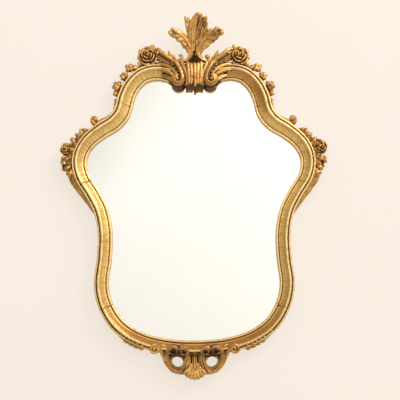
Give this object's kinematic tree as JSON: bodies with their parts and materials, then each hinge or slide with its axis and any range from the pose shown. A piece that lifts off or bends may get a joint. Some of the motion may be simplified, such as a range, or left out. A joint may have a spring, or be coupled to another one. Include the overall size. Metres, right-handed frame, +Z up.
{
  "type": "overmantel mirror",
  "caption": "Cartouche-shaped giltwood mirror with a shell and leafy crest, roses on its shoulders and a pierced scroll apron, hung from a ring on its back.",
  "frame": {"origin": "on the plane of the rails' flat back, on the frame's middle, level with the pivot of the hanging ring", "axes": "+X to the viewer's right, +Z up, -Y towards the viewer, +Y towards the wall"},
  "size_m": [0.702, 0.0795, 0.9526],
  "materials": {
    "gilt": "carved wood, water-gilded with rubbed gold leaf over red bole",
    "joint_wood": "bare beech",
    "mirror_glass": "polished, silvered behind",
    "backboard": "thin bare softwood board, dark with age",
    "brad_steel": "bright cut wire",
    "hanger_brass": "dull, slightly tarnished"
  },
  "bodies": {
    "frame": {"upper_rail_right": "gilt", "shoulder_rail_right": "gilt", "side_rail_right": "gilt", "bottom_rail": "gilt", "side_rail_left": "gilt", "shoulder_rail_left": "gilt", "upper_rail_left": "gilt", "top_tongue": "joint_wood", "neck_tongue_right": "joint_wood", "shoulder_tongue_right": "joint_wood", "lower_tongue_right": "joint_wood", "lower_tongue_left": "joint_wood", "shoulder_tongue_left": "joint_wood", "neck_tongue_left": "joint_wood", "mirror_glass": "mirror_glass", "backboard": "backboard", "brad_1": "brad_steel", "brad_2": "brad_steel", "brad_3": "brad_steel", "brad_4": "brad_steel", "brad_5": "brad_steel", "brad_6": "brad_steel", "brad_7": "brad_steel", "brad_8": "brad_steel", "hanger_strap": "hanger_brass", "hanger_screw_left": "hanger_brass", "hanger_screw_right": "hanger_brass", "shell_cartouche": "gilt", "crest_plume": "gilt", "apron": "gilt", "rose_spray_right": "gilt", "rose_spray_left": "gilt", "upper_husk_right": "gilt", "upper_husk_left": "gilt", "middle_husk_right": "gilt", "middle_husk_left": "gilt", "lower_husk_right": "gilt", "lower_husk_left": "gilt", "shoulder_scroll_right": "gilt", "shoulder_scroll_left": "gilt", "corner_cluster_right": "gilt", "corner_cluster_left": "gilt", "taper_leaf_right": "gilt", "taper_leaf_left": "gilt", "bead_trail_right": "gilt", "bead_trail_left": "gilt"},
    "ring": {"hanger_ring": "hanger_brass"}
  },
  "joints": [
    {"name": "ring_swing", "type": "hinge", "parent": "frame", "child": "ring", "pos_m": [0, 0.00285, 0], "axis": [1, 0, 0], "range_deg": [0, 180]}
  ]
}
